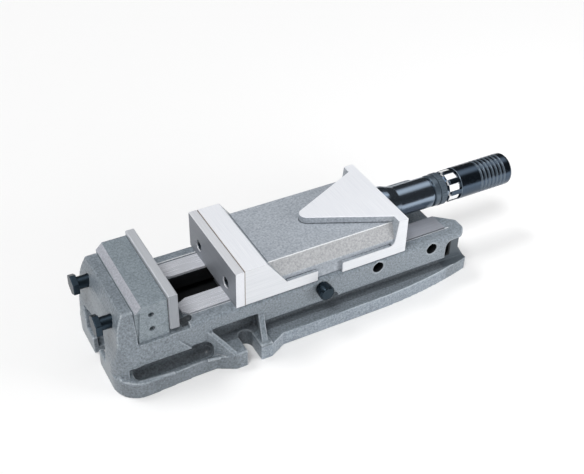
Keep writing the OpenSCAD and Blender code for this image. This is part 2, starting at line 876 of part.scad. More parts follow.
module jaw_casting()
{
    color("#a7adb2") difference() {
        union() {
            jaw_core();
            front_land();
            rear_land();
            arrow_land();
        }
        box(jaw_x + cavity_x, jaw_x + cavity_end_x, cavity_half_w, jaw_z - cut, cavity_top);
        plate_screw_holes(cast_x);
        on_spindle() {
            rod_x(jaw_x + cavity_x - nose_bore_l, nose_bore_l + cut, screw_shaft_r + run_fit);
            rod_x(jaw_x + cavity_end_x - cut, jaw_l - cavity_end_x + plate_t, screw_shaft_r + edge);
            rod_x(tube_x, tube_seat_l + cut, tube_r);
        }
        at_hold_screws() translate([0, 0, key_z])
            cylinder(h = jaw_z - key_z + hold_reach, r = hold_screw_r);
    }
}

module moving_jaw_plate()
{
    color("#c9ccd4") translate([jaw_x, 0, 0]) jaw_plate(jaw_z);
}

module moving_plate_screws()
{
    color("#23292d") translate([jaw_x, 0, 0]) plate_screws();
}

// Places of the hold-down screws: four under the front key, two under the rear
module at_hold_screws()
{
    front = key_ends[0];
    rear = key_ends[1];
    rear_x = (rear[0] + rear[1]) / 2;
    for (x = [front[0] + key_half_w / 2, front[1] - key_half_w / 2, rear_x])
        for (side = [-1, 1]) translate([jaw_x + x, side * hold_screw_y, 0]) children();
}

module guide_keys()
{
    color("#8a5a45") difference() {
        for (k = key_ends) box(jaw_x + k[0], jaw_x + k[1], key_half_w, key_z, jaw_z);
        at_hold_screws() translate([0, 0, key_z - cut])
            cylinder(h = jaw_z - key_z + 2 * cut, r = hold_screw_r + slide_gap);
    }
}

module hold_down_plates()
{
    color("#6f777c") difference() {
        for (k = key_ends) box(jaw_x + k[0], jaw_x + k[1], hold_half_w, key_z - hold_t, key_z);
        at_hold_screws() translate([0, 0, key_z - hold_t - cut]) {
            cylinder(h = hold_t + 2 * cut, r = hold_screw_r + slide_gap);
            cylinder(h = hold_head_h + edge + cut, r = hold_head_r + edge);
        }
    }
}

module hold_down_screws()
{
    z = key_z - hold_t + edge;
    color("#23292d") at_hold_screws() translate([0, 0, z]) rotate([0, -90, 0])
        cap_screw_x(hold_head_r, hold_head_h, hold_screw_r, jaw_z + hold_reach - z);
}

module nut_carrier()
{
    color("#5d666b") difference() {
        union() {
            box(carrier_x, carrier_x + carrier_l, key_half_w, tee_floor_z, carrier_top);
            box(carrier_x, carrier_x + carrier_l, hold_half_w, tee_floor_z, key_z);
        }
        on_spindle() rod_x(carrier_x - cut, carrier_l + 2 * cut, nut_r);
        translate([pin_x, -key_half_w - cut, pin_z]) rotate([-90, 0, 0])
            cylinder(h = 2 * (key_half_w + cut), r = pin_hole_r);
    }
}

module spindle_nut()
{
    color("#b08a4a") on_spindle() difference() {
        rod_x(carrier_x, carrier_l, nut_r);
        rod_x(carrier_x - cut, carrier_l + 2 * cut, screw_shaft_r + run_fit);
    }
}

module locating_pin()
{
    head_y = -wall_half_w - slide_gap - knob_l / 2;
    color("#3a4247") translate([pin_x, head_y, pin_z]) rotate([-90, 0, 0])
        cylinder(h = pin_reach - head_y, r = pin_hole_r - run_fit);
}

// Knob on the pin's end: a neck, a wide rim and a shallow dish
module pin_knob()
{
    rim_l = knob_l * rim_share;
    color("#1b2024") translate([pin_x, -wall_half_w - slide_gap, pin_z]) rotate([90, 0, 0])
        rotate_extrude() difference() {
            union() {
                square([knob_r - edge, knob_l - edge]);
                translate([0, knob_l - rim_l]) square([knob_r, rim_l - 2 * edge]);
                square([knob_r - 2 * edge, knob_l]);
            }
            translate([-cut, -cut]) square([pin_hole_r - run_fit + cut, knob_l / 2 + cut]);
        }
}

module tube_collar()
{
    color("#20282d") on_spindle() turned([
        [cast_end, tube_r], [cast_end, collar_r], [cast_end + collar_l * collar_share, collar_r],
        [cast_end + collar_l, tube_r + edge], [cast_end + collar_l, tube_r]]);
}

module booster_tube()
{
    color("#222d34") on_spindle() turned([
        [tube_x, tube_bore_r], [tube_x, tube_r], [neck_x - edge, tube_r], [neck_x, tube_r - edge],
        [neck_x, neck_r], [end_ring_x, neck_r], [end_ring_x, tube_bore_r]]);
}

module end_ring()
{
    r_in = spindle_r + slide_gap;
    r_out = tube_r + edge / 2;
    x = end_ring_x;
    color("#5c6873") on_spindle() turned([
        [x - seal_l, r_in], [x - seal_l, tube_bore_r], [x, tube_bore_r], [x, r_out - edge],
        [x + edge, r_out], [x + end_ring_l - edge, r_out], [x + end_ring_l, r_out - edge],
        [x + end_ring_l, r_in]]);
}

module tube_seal()
{
    x = end_ring_x - 2 * seal_l;
    color("#1a1a1a") on_spindle() turned([
        [x, spindle_r + run_fit], [x, tube_bore_r], [x + seal_l, tube_bore_r],
        [x + seal_l, spindle_r + run_fit]]);
}

module washer(x, r_in)
{
    r_out = tube_bore_r - slide_gap;
    on_spindle() turned([
        [x, r_in], [x, r_out], [x + washer_t, r_out], [x + washer_t, r_in]]);
}

module bearing_front_washer()
{
    color("#9aa3a8") washer(bearing_x, screw_shaft_r + slide_gap);
}

module bearing_balls()
{
    color("#c4cace") on_spindle() for (i = [0 : balls - 1]) rotate([i * 360 / balls, 0, 0])
        translate([bearing_x + washer_t + ball_r, ball_pitch_r, 0])
            sphere(r = ball_r - run_fit, $fn = 24);
}

module bearing_rear_washer()
{
    color("#9aa3a8") washer(bearing_x + washer_t + 2 * ball_r, screw_shaft_r);
}

// Lead screw, shoulder and hollow drive end in one piece
module spindle()
{
    front = jaw_x + cavity_x - nose_bore_l + 2 * edge;
    shoulder = bearing_x + bearing_l;
    color("#7d868c") on_spindle() turned([
        [front, 0], [front, screw_shaft_r - edge], [front + edge, screw_shaft_r],
        [shoulder, screw_shaft_r], [shoulder, spindle_r], [hub_end, spindle_r],
        [hub_end, booster_r], [booster_x, booster_r], [booster_x, 0]]);
}

module booster_plunger()
{
    color("#c0c6ca") on_spindle() rod_x(booster_x, plunger_l, booster_r);
}

// Disc springs set in turn against each other, four facing pairs
module disc_springs()
{
    color("#4a5258") on_spindle() for (i = [0 : disc_pairs - 1]) {
        x = booster_x + plunger_l + i * disc_pair_l;
        disc(x, disc_dish);
        disc(x + disc_pair_l - disc_t - run_fit, -disc_dish);
    }
}

module disc(x, dish)
{
    r_out = booster_r - edge / 2;
    turned([[x, booster_r / 2], [x + dish, r_out], [x + dish + disc_t, r_out],
            [x + disc_t, booster_r / 2]]);
}

module push_rod()
{
    x = booster_x + plunger_l + disc_pairs * disc_pair_l;
    color("#8d969b") on_spindle() rod_x(x, hub_end - stud_plug_l - x, booster_r);
}

module preset_ring()
{
    x0 = preset_x + slide_gap;
    x1 = preset_x + preset_l;
    grip_r = preset_r * PI / preset_grips / 2;
    color("#2b3338") on_spindle() difference() {
        turned([
            [x0, spindle_r + run_fit], [x0, preset_r - edge], [x0 + edge, preset_r],
            [x1 - edge, preset_r], [x1, preset_r - edge], [x1, spindle_r + run_fit]]);
        for (i = [0 : preset_grips - 1]) rotate([i * 360 / preset_grips, 0, 0])
            translate([x0 - cut, 0, preset_r + grip_r / 2]) rotate([0, 90, 0])
                cylinder(h = preset_l + cut, r = grip_r, $fn = 16);
    }
}

// Wedges about X at the claws' pitch, the first one centred at the angle turn
module wedges(x, l, r_in, r_out, wide, turn)
{
    for (i = [0 : claws - 1]) rotate([turn + i * 360 / claws, 0, 0]) along_x(x, l) polygon([
        r_in * [cos(wide / 2), sin(wide / 2)], r_in * [cos(wide / 2), -sin(wide / 2)],
        r_out * [cos(wide / 2), -sin(wide / 2)], r_out * [cos(wide / 2), sin(wide / 2)]]);
}

module claw_hub()
{
    color("#d6dade") on_spindle() {
        turned([
            [hub_x, spindle_r], [hub_x, hub_flange_r], [claw_x, hub_flange_r],
            [claw_x, hub_r], [hub_end, hub_r], [hub_end, spindle_r]]);
        intersection() {
            turned([
                [claw_x - edge, hub_r - edge], [claw_x - edge, hub_flange_r],
                [claw_x, hub_flange_r], [claw_x, claw_r], [claw_x + claw_l - edge, claw_r],
                [claw_x + claw_l, claw_r - edge], [claw_x + claw_l, hub_r - edge]]);
            wedges(hub_x, hub_flange_l + claw_l + cut, spindle_r, sleeve_r + edge, claw_deg,
                   clutch_turn);
        }
    }
}

// Drive sleeve: fingers between the claws, grip grooves and a deep well
module drive_sleeve()
{
    last = sleeve_end - sleeve_round_r;
    finger_r = sleeve_r - edge / 2;
    color("#1f2a31") on_spindle() difference() {
        turned(concat(
            [[sleeve_x, sleeve_bore_r], [sleeve_x, finger_r], [sleeve_body_x, finger_r],
             [sleeve_body_x + edge / 2, sleeve_r]],
            [for (i = [0 : grooves - 1], p = groove_share)
                [sleeve_x + groove_x + i * groove_pitch + p[0] * groove_w,
                 sleeve_r - p[1] * groove_d]],
            [for (a = [90 : -15 : 0])
                [last + sleeve_round_r * cos(a),
                 sleeve_r - sleeve_round_r + sleeve_round_r * sin(a)]],
            [[sleeve_end, well_r], [well_x, well_r], [well_x, stud_r + run_fit],
             [web_x, stud_r + run_fit], [web_x, sleeve_bore_r]]));
        wedges(sleeve_x - cut, sleeve_body_x - sleeve_x + cut, spindle_r, sleeve_r + claw_l,
               360 / claws - finger_deg, clutch_turn);
    }
}

module drive_socket()
{
    color("#39434a") on_spindle() difference() {
        rod_x(socket_x, socket_l - edge, well_r);
        hex_x(socket_x - cut, socket_l + 2 * cut, socket_af);
    }
}

// Compression spring behind the sleeve's web, one helical wire
module clutch_spring()
{
    steps = turn_steps * spring_turns;
    sides = wire_sides;
    coil_l = spring_l - 2 * spring_wire_r - 2 * run_fit;
    ring = function(i) let (a = 360 * spring_turns * i / steps, x = coil_l * i / steps)
        [for (k = [0 : sides - 1]) let (b = 360 * k / sides, r = spring_r + spring_wire_r * cos(b))
            [x + spring_wire_r * sin(b), r * cos(a), r * sin(a)]];
    points = [for (i = [0 : steps]) each ring(i)];
    skin = [for (i = [0 : steps - 1], k = [0 : sides - 1]) let (n = (k + 1) % sides)
        each [[i * sides + k, i * sides + n, (i + 1) * sides + n],
              [i * sides + k, (i + 1) * sides + n, (i + 1) * sides + k]]];
    ends = [[for (k = [sides - 1 : -1 : 0]) k], [for (k = [0 : sides - 1]) steps * sides + k]];
    color("#8b9499") on_spindle() translate([well_x + spring_wire_r + run_fit, 0, 0])
        polyhedron(points, concat(skin, ends));
}

module retaining_bolt()
{
    color("#4d565c") on_spindle() {
        rod_x(hub_end - stud_plug_l, stud_plug_l, booster_r);
        rod_x(hub_end - edge, stud_head_x - hub_end + 2 * edge, stud_r);
        difference() {
            rod_x(stud_head_x, stud_head_l, stud_head_r);
            hex_x(stud_head_x + edge, stud_head_l, stud_r);
        }
    }
}

bed_casting();
guide_ways();
fixed_jaw();
fixed_jaw_plate();
fixed_plate_screws();
tie_bolts();
jaw_casting();
moving_jaw_plate();
moving_plate_screws();
guide_keys();
hold_down_plates();
hold_down_screws();
nut_carrier();
spindle_nut();
locating_pin();
pin_knob();
tube_collar();
booster_tube();
end_ring();
bearing_front_washer();
bearing_balls();
bearing_rear_washer();
spindle();
booster_plunger();
disc_springs();
push_rod();
tube_seal();
preset_ring();
claw_hub();
drive_sleeve();
drive_socket();
clutch_spring();
retaining_bolt();
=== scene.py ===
import math

import bpy
from mathutils import Matrix, Vector


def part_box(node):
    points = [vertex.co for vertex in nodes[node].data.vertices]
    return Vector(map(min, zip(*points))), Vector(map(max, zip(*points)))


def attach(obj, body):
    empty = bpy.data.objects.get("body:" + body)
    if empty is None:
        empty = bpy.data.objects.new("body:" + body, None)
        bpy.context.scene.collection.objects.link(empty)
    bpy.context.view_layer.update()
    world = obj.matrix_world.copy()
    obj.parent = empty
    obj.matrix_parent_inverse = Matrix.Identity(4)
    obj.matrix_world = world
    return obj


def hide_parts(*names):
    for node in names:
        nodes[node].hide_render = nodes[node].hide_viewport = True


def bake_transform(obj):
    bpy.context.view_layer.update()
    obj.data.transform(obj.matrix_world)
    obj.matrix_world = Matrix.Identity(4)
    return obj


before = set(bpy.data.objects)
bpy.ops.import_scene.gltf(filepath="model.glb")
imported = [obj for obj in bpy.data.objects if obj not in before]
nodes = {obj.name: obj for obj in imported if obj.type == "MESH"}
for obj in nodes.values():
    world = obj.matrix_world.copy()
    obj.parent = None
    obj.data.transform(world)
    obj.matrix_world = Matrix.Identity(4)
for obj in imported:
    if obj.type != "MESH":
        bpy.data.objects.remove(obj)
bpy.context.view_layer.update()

# Bed casting: grey iron, cast in a sand mould and sprayed with grey hammer enamel.
# The mould leaves its edges and inner corners round; only the strips beside the ways
# are milled, and a thin pale line is painted there as the milled edge's highlight.
MM = 0.001


def linear(hex_colour):
    """The linear colour that a socket takes, from sRGB written in hex."""
    parts = [int(hex_colour[i:i + 2], 16) / 255 for i in (0, 2, 4)]
    return tuple(c / 12.92 if c <= 0.04045 else ((c + 0.055) / 1.055) ** 2.4 for c in parts) + (1,)


def add(tree, kind, inputs=None, **settings):
    """One shader node; each input is a number, a colour or another node's output."""
    node = tree.nodes.new("ShaderNode" + kind)
    for name, value in settings.items():
        setattr(node, name, value)
    for name, value in (inputs or {}).items():
        if isinstance(value, bpy.types.NodeSocket):
            tree.links.new(value, node.inputs[name])
        else:
            node.inputs[name].default_value = value
    return node


def start_finish(name):
    """An empty material: its tree, its shader and the place on the piece in metres."""
    material = bpy.data.materials.new(name)
    material.use_nodes = True
    tree = material.node_tree
    tree.nodes.clear()
    shader = add(tree, "BsdfPrincipled")
    add(tree, "OutputMaterial", {"Surface": shader.outputs[0]})
    return material, tree, shader, add(tree, "TexCoord").outputs["Object"]


def hammer_enamel(name, low, high, grain=3 * MM, rough=0.34, edge=None):
    """Hammer enamel over cast iron: the paint draws into droplets a grain wide, so the
    tone speckles and the gloss breaks up. Where an edge colour is given, it is a painted
    highlight on the sharp edges, and painted shade darkens the inner corners."""
    material, tree, shader, place = start_finish(name)
    drops = add(tree, "TexNoise", {"Vector": place, "Scale": 1 / grain, "Detail": 2.5,
                                   "Roughness": 0.65})
    tone = add(tree, "MapRange", {"Value": drops.outputs[0], "From Min": 0.3, "From Max": 0.7})
    cloud = add(tree, "TexNoise", {"Vector": place, "Scale": 1 / (60 * MM), "Detail": 2})
    shade = add(tree, "MapRange", {"Value": cloud.outputs[0], "From Min": 0.3, "From Max": 0.7,
                                   "To Min": 0.96, "To Max": 1.04})
    paint = add(tree, "Mix", {0: tone.outputs[0], 6: linear(low), 7: linear(high)},
                data_type="RGBA")
    paint = add(tree, "Mix", {0: 1.0, 6: paint.outputs[2], 7: shade.outputs[0]},
                data_type="RGBA", blend_type="MULTIPLY")
    if edge:
        # Painted shade in the inner corners, and a painted highlight on the sharp edges.
        sharp = add(tree, "NewGeometry").outputs["Pointiness"]
        corner_shade = add(tree, "MapRange", {"Value": sharp, "From Min": 0.43, "From Max": 0.495,
                                      "To Min": 0.55})
        paint = add(tree, "Mix", {0: 1.0, 6: paint.outputs[2], 7: corner_shade.outputs[0]},
                    data_type="RGBA", blend_type="MULTIPLY")
        edge_highlight = add(tree, "MapRange", {"Value": sharp, "From Min": 0.512, "From Max": 0.565,
                                      "To Max": 0.7})
        paint = add(tree, "Mix", {0: edge_highlight.outputs[0], 6: paint.outputs[2], 7: linear(edge)},
                    data_type="RGBA")
    tree.links.new(paint.outputs[2], shader.inputs["Base Color"])
    gloss = add(tree, "MapRange", {"Value": drops.outputs[0], "To Min": rough - 0.08,
                                   "To Max": rough + 0.1})
    tree.links.new(gloss.outputs[0], shader.inputs["Roughness"])
    bump = add(tree, "Bump", {"Height": drops.outputs[0], "Strength": 0.5,
                              "Distance": 0.3 * MM})
    tree.links.new(bump.outputs[0], shader.inputs["Normal"])
    return material


def within(tree, value, low, high):
    """1 where the value lies between low and high, else 0."""
    return add(tree, "Math", {0: value, 1: (low + high) / 2, 2: (high - low) / 2},
               operation="COMPARE").outputs[0]


def paint_over(material, colour, rough, spans, blend="MIX"):
    """Another colour and gloss on the part of a finish inside the spans along X, |Y|, Z,
    the spans in millimetres. With blend MULTIPLY the colour is a factor on what is there."""
    tree = material.node_tree
    shader = next(n for n in tree.nodes if n.type == "BSDF_PRINCIPLED")
    place = next(n for n in tree.nodes if n.type == "TEX_COORD").outputs["Object"]
    axes = add(tree, "SeparateXYZ", {0: place})
    off_middle = add(tree, "Math", {0: axes.outputs[1]}, operation="ABSOLUTE").outputs[0]
    mask = 1.0
    for value, (low, high) in zip((axes.outputs[0], off_middle, axes.outputs[2]), spans):
        mask = add(tree, "Math", {0: mask, 1: within(tree, value, low * MM, high * MM)},
                   operation="MULTIPLY").outputs[0]
    for socket, other in (("Base Color", colour), ("Roughness", rough)):
        under = shader.inputs[socket].links[0].from_socket
        kind, slots = ("RGBA", (6, 7, 2)) if socket == "Base Color" else ("FLOAT", (2, 3, 0))
        over = add(tree, "Mix", {0: mask, slots[0]: under, slots[1]: other}, data_type=kind,
                   blend_type=blend if kind == "RGBA" else "MIX")
        tree.links.new(over.outputs[slots[2]], shader.inputs[socket])


def copy_of(node, name):
    """A copy of a CAD node's mesh, merged where its faces meet, alone and selected."""
    piece = bpy.data.objects.new(name, nodes[node].data.copy())
    bpy.context.scene.collection.objects.link(piece)
    bpy.ops.object.select_all(action="DESELECT")
    piece.select_set(True)
    bpy.context.view_layer.objects.active = piece
    piece.data.materials.clear()
    bpy.ops.mesh.customdata_custom_splitnormals_clear()
    bpy.ops.object.mode_set(mode="EDIT")
    bpy.ops.mesh.select_all(action="SELECT")
    bpy.ops.mesh.remove_doubles(threshold=0.001 * MM)
    bpy.ops.mesh.dissolve_limited(angle_limit=math.radians(0.3))
    bpy.ops.object.mode_set(mode="OBJECT")
    return piece


def finish_with(piece, kind, **settings):
    """A modifier with its settings, applied."""
    step = piece.modifiers.new(kind.lower(), kind)
    for name, value in settings.items():
        setattr(step, name, value)
    bpy.ops.object.modifier_apply(modifier=step.name)


def cut_tub(piece, low, high, rounding):
    """A hollow with round edges between two corners, cut into the piece."""
    size = [b - a for a, b in zip(low, high)]
    bpy.ops.object.select_all(action="DESELECT")
    bpy.ops.mesh.primitive_cube_add(size=1, location=[(a + b) / 2 for a, b in zip(low, high)],
                                    scale=size)
    tub = bpy.context.object
    bpy.ops.object.transform_apply(location=True, rotation=True, scale=True)
    finish_with(tub, "BEVEL", width=rounding, segments=5)
    bpy.context.view_layer.objects.active = piece
    finish_with(piece, "BOOLEAN", operation="DIFFERENCE", object=tub, solver="EXACT")
    bpy.data.objects.remove(tub)


def lay_rim(piece, points, thick):
    """A round rim along the points, joined to the piece; the skin closes over it later."""
    bpy.ops.object.select_all(action="DESELECT")
    parts = [piece]
    for start, end in zip(points, points[1:]):
        bpy.ops.mesh.primitive_cylinder_add(
            vertices=12, radius=thick, depth=(end - start).length, location=(start + end) / 2,
            rotation=(end - start).to_track_quat("Z", "Y").to_euler())
        parts.append(bpy.context.object)
    for point in points:
        bpy.ops.mesh.primitive_ico_sphere_add(subdivisions=2, radius=thick, location=point)
        parts.append(bpy.context.object)
    for part in parts:
        part.select_set(True)
    bpy.context.view_layer.objects.active = piece
    bpy.ops.object.join()


# The bed's enamel carries the painted edge highlight and the painted corner shade.
grey_enamel = hammer_enamel("hammer_enamel_on_iron", "5d656c", "8a939b", rough=0.3,
                            edge="c4ccd3")
# Where that finish differs, as spans along X, |Y| and Z: near-black painted shade in the
# channel and tee space, a pale line beside the ways painted as the milled edge's highlight,
# the rear flange painted lighter and the front flange darker as the light falls on them, and
# painted shade in the hollows, on the rear web, in the hollow in the web's end, at the ends
# of the ways' seats and in the holes for the pin, near black in the hollow and the holes.
CHANNEL = ((0, 432), (0, 26.2), (18, 84))
TEE_SPACE = ((0, 432), (0, 60), (18, 76.5))
EDGE_HIGHLIGHT_STRIP = ((18, 460), (60.4, 62.2), (84.5, 86))
LIT_REAR_FLANGE = ((109, 500), (84, 112), (-1, 23.4))
SHADED_FRONT_FLANGE = ((-112, 75), (84, 112), (-1, 23.4))
SHADED_HOLLOWS = ((-71, 446), (58, 80.4), (1, 60.8))
SHADED_REAR_WEB = ((446, 496), (58, 80.6), (23, 76))
SHADED_WEB_END = ((449, 466), (50, 66.2), (32, 70))
SHADED_SEAT_END = ((6, 24), (57, 73.5), (78.5, 84.9))
PIN_HOLES, PIN_HOLE_HALF = (223, 320.3, 417.6), 9.2
PIN_HOLE_REACH, PIN_HOLE_RISE = (0, 79.6), (61.5, 80.5)
channel_shade_black, hole_shade_black = linear("0c0f12"), linear("14171a")
# Near-black painted shade in the deep channel and the tee space.
paint_over(grey_enamel, channel_shade_black, 0.6, CHANNEL)
paint_over(grey_enamel, channel_shade_black, 0.6, TEE_SPACE)
# A pale line on the milled strips beside the ways, painted as their edge's highlight.
paint_over(grey_enamel, linear("c9ccd0"), 0.35, EDGE_HIGHLIGHT_STRIP)
# The rear flange painted lighter, as the light falls on it.
paint_over(grey_enamel, (1.3, 1.3, 1.32, 1), 0.3, LIT_REAR_FLANGE, blend="MULTIPLY")
# The front flange painted darker, as shade.
paint_over(grey_enamel, (0.85, 0.85, 0.85, 1), 0.34, SHADED_FRONT_FLANGE, blend="MULTIPLY")
# Painted shade in the hollows of the bed's sides.
paint_over(grey_enamel, (0.58, 0.58, 0.58, 1), 0.4, SHADED_HOLLOWS, blend="MULTIPLY")
# Painted shade on the rear web.
paint_over(grey_enamel, linear("4a5259"), 0.5, SHADED_REAR_WEB)
# Near-black painted shade in the hollow in the web's end.
paint_over(grey_enamel, hole_shade_black, 0.5, SHADED_WEB_END)
# Painted shade at the ends of the ways' seats.
paint_over(grey_enamel, (0.42, 0.42, 0.42, 1), 0.4, SHADED_SEAT_END, blend="MULTIPLY")
# Near-black painted shade in the holes for the pin.
for hole_x in PIN_HOLES:
    paint_over(grey_enamel, hole_shade_black, 0.5,
               ((hole_x - PIN_HOLE_HALF, hole_x + PIN_HOLE_HALF), PIN_HOLE_REACH, PIN_HOLE_RISE))
bed = copy_of("bed_casting", "cast_bed")
# The flange's sunk channel and the hollow in the web's end, each with its rounding, and the
# raised rims along the channel and down the front rib: all in millimetres, on both sides.
TUBS = (((-72, 68, 13), (46, 93, 44), 9), ((451, 57, 34), (463, 70, 67), 4))
RIM_THICK = 2.6 * MM
RIMS = (
    ((-92, 76, 30), (-90, 83, 28), (-83, 90, 27), (-71, 95, 26.5), (-51, 97, 26), (-19, 97.5, 24),
     (31, 97.5, 24), (48, 99.5, 23), (66, 105.5, 24), (61, 102.5, 33), (54, 97, 41), (45, 88, 50)),
    ((44, 83.5, 60), (58, 94.5, 44), (71, 106, 28)))
for side in (-1, 1):
    for low, high, rounding in TUBS:
        y_in, y_out = sorted((side * low[1], side * high[1]))
        cut_tub(bed, [v * MM for v in (low[0], y_in, low[2])],
                [v * MM for v in (high[0], y_out, high[2])], rounding * MM)
    for rim in RIMS:
        lay_rim(bed, [Vector((x, side * y, z)) * MM for x, y, z in rim], RIM_THICK)
# The skin closes over all of it and is smoothed; the milled faces on top and the foot keep
# their height.
bed_voxel = 1.25 * MM
finish_with(bed, "REMESH", mode="VOXEL", voxel_size=bed_voxel)
milled_z = 77.5 * MM
mould = bed.vertex_groups.new(name="mould_skin")
foot_z = 1.5 * MM
mould.add([v.index for v in bed.data.vertices if foot_z < v.co.z < milled_z], 1, "REPLACE")
finish_with(bed, "SMOOTH", factor=0.5, iterations=4, vertex_group="mould_skin")
finish_with(bed, "SMOOTH", factor=0.5, iterations=8, vertex_group="mould_skin",
            invert_vertex_group=True, use_z=False)
finish_with(bed, "DECIMATE", ratio=0.22)
bed.data.materials.append(grey_enamel)
bpy.ops.object.shade_smooth_by_angle(angle=math.radians(40))
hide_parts("bed_casting")
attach(bed, "bed")

# Guide ways: two hardened strips screwed to the bed and ground lengthwise.
# The wheel leaves fine lines along them, and they mirror the light in long soft streaks.
# Behind the jaw they are painted darker, as the shade and dark reflection there.
REAR_WAY_SHADE = ((385, 520), (0, 70), (76, 95))


def ground_steel(name, light, dark, along, rough=0.3, line=0.5 * MM, metallic=0.5):
    """Ground steel: fine lines across which the gloss varies; drawn as coarse as the
    image can show them. along is the wheel's way, 0 for X, 1 for Y, 2 for Z."""
    material, tree, shader, place = start_finish(name)
    stretch = [1 / line] * 3
    stretch[along] = 1 / (60 * MM)
    lines = add(tree, "Mapping", {"Vector": place, "Scale": stretch})
    grit = add(tree, "TexNoise", {"Vector": lines.outputs[0], "Scale": 1.0, "Detail": 3,
                                  "Roughness": 0.6})
    tone = add(tree, "MapRange", {"Value": grit.outputs[0], "From Min": 0.3, "From Max": 0.7})
    steel = add(tree, "Mix", {0: tone.outputs[0], 6: linear(dark), 7: linear(light)},
                data_type="RGBA")
    tree.links.new(steel.outputs[2], shader.inputs["Base Color"])
    gloss = add(tree, "MapRange", {"Value": grit.outputs[0], "To Min": rough - 0.06,
                                   "To Max": rough + 0.08})
    tree.links.new(gloss.outputs[0], shader.inputs["Roughness"])
    shader.inputs["Metallic"].default_value = metallic
    bump = add(tree, "Bump", {"Height": grit.outputs[0], "Strength": 0.15,
                              "Distance": 0.02 * MM})
    tree.links.new(bump.outputs[0], shader.inputs["Normal"])
    return material


def machined(node, body, material, broken=0.4, steps=2):
    """A copy of a CAD node in its place, with its sharp edges broken."""
    piece = copy_of(node, node.replace("_", "-") + "-piece")
    finish_with(piece, "BEVEL", width=broken * MM, segments=steps, limit_method="ANGLE",
                angle_limit=math.radians(35), use_clamp_overlap=False)
    piece.data.materials.append(material)
    bpy.ops.object.shade_smooth_by_angle(angle=math.radians(33))
    finish_with(piece, "WEIGHTED_NORMAL", keep_sharp=True)
    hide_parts(node)
    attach(piece, body)
    return piece


way_steel = ground_steel("ground_hardened_steel", "e2e4ea", "c6c9d1", along=0, rough=0.25,
                         metallic=0.35)
# The ways behind the jaw painted darker, as shade and dark reflection.
paint_over(way_steel, (0.5, 0.51, 0.53, 1), 0.3, REAR_WAY_SHADE, blend="MULTIPLY")
machined("guide_ways", "bed", way_steel)

# Fixed jaw: a machined block, enamelled like the bed, whose rear bevel is left bare, with oil
# and painted shade in the seam at its plate. The ground plate is screwed on with two socket
# screws.
BLOCK_EDGE = 0.8
fixed_jaw = machined("fixed_jaw", "bed",
                     hammer_enamel("hammer_enamel_on_block", "667077", "8d979e", grain=2.6 * MM),
                     broken=BLOCK_EDGE)
bare_bevel = hammer_enamel("bare_milled_iron", "90939b", "b2b4bc", rough=0.4)
fixed_jaw.data.materials.append(bare_bevel)
# Oil and painted shade darken the seam where the block meets its plate.
seam_oil_and_shade = hammer_enamel("oil_and_shade_in_seams", "24292d", "383e43", rough=0.5)
fixed_jaw.data.materials.append(seam_oil_and_shade)
block_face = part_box("fixed_jaw")[1].x
for face in fixed_jaw.data.polygons:
    if face.normal.x < -0.6 and face.normal.z > 0.6:
        face.material_index = 1
    elif face.center.x > block_face - BLOCK_EDGE * MM and face.normal.x < 0.95:
        face.material_index = 2
fixed_plate_steel = ground_steel("ground_plate_matt", "cfd2d7", "bec2c8", along=1, rough=0.42,
                                 line=0.7 * MM, metallic=0.4)
fixed_plate = machined("fixed_jaw_plate", "bed", fixed_plate_steel,
                       broken=BLOCK_EDGE)
# The plate's sides are painted darker than its top, as shade.
fixed_plate.data.materials.append(
    ground_steel("ground_plate_side_in_shade", "9fa3a9", "8f9399", along=2, rough=0.42, metallic=0.4))
for face in fixed_plate.data.polygons:
    if abs(face.normal.y) > 0.6:
        face.material_index = 1

# Screws and bolts: alloy steel with a black oxide coat, which is blue-black,
# a little oily and takes soft highlights.


def black_oxide(name, light, dark, rough=0.3, metallic=1.0):
    """Black oxide on turned steel: a thin dark coat with cloudy tone and satin gloss."""
    material, tree, shader, place = start_finish(name)
    cloud = add(tree, "TexNoise", {"Vector": place, "Scale": 1 / (2.5 * MM), "Detail": 4,
                                   "Roughness": 0.6})
    tone = add(tree, "Mix", {0: cloud.outputs[0], 6: linear(dark), 7: linear(light)},
               data_type="RGBA")
    tree.links.new(tone.outputs[2], shader.inputs["Base Color"])
    gloss = add(tree, "MapRange", {"Value": cloud.outputs[0], "To Min": rough - 0.05,
                                   "To Max": rough + 0.07})
    tree.links.new(gloss.outputs[0], shader.inputs["Roughness"])
    shader.inputs["Metallic"].default_value = metallic
    bump = add(tree, "Bump", {"Height": cloud.outputs[0], "Strength": 0.2,
                              "Distance": 0.02 * MM})
    tree.links.new(bump.outputs[0], shader.inputs["Normal"])
    return material


screw_black = black_oxide("black_oxide_on_screws", "3e4b56", "2f3b45", rough=0.36)
machined("fixed_plate_screws", "bed", screw_black, broken=0.4)
machined("tie_bolts", "bed", screw_black, broken=0.9, steps=3)

# Moving jaw: a casting whose top lands, sides and rear face are ground bright, while the
# sunk panel and its slanted sides keep the grained enamel. Painted shade lies along the foot of
# the lands, a painted highlight on the panel's edge, and a line of oil seeps out at the plate.
moving_jaw = machined("jaw_casting", "jaw",
                      ground_steel("ground_iron_land", "f2f4f8", "e2e5ec", along=1, rough=0.33,
                                   line=0.6 * MM, metallic=0.15), broken=1.0)
PANEL, SLANT, SIDE, LAND_FOOT_SHADE, PANEL_EDGE_HIGHLIGHT, OIL = range(1, 7)
for finish in (
        hammer_enamel("hammer_enamel_on_panel", "848b93", "afb5bd"),
        hammer_enamel("hammer_enamel_on_jaw_side", "8d8f92", "b2b3b5"),
        ground_steel("ground_iron_side_in_shade", "dcdee2", "cccfd4", along=0, rough=0.36,
                     line=0.6 * MM, metallic=0.15),
        hammer_enamel("shade_along_the_lands", "4a5056", "5c6369"),
        hammer_enamel("highlight_on_panel_edges", "c6c9cc", "dcdee0"),
        hammer_enamel("oil_line_at_the_plate", "7c7069", "8f837b")):
    moving_jaw.data.materials.append(finish)
jaw_low, jaw_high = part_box("jaw_casting")
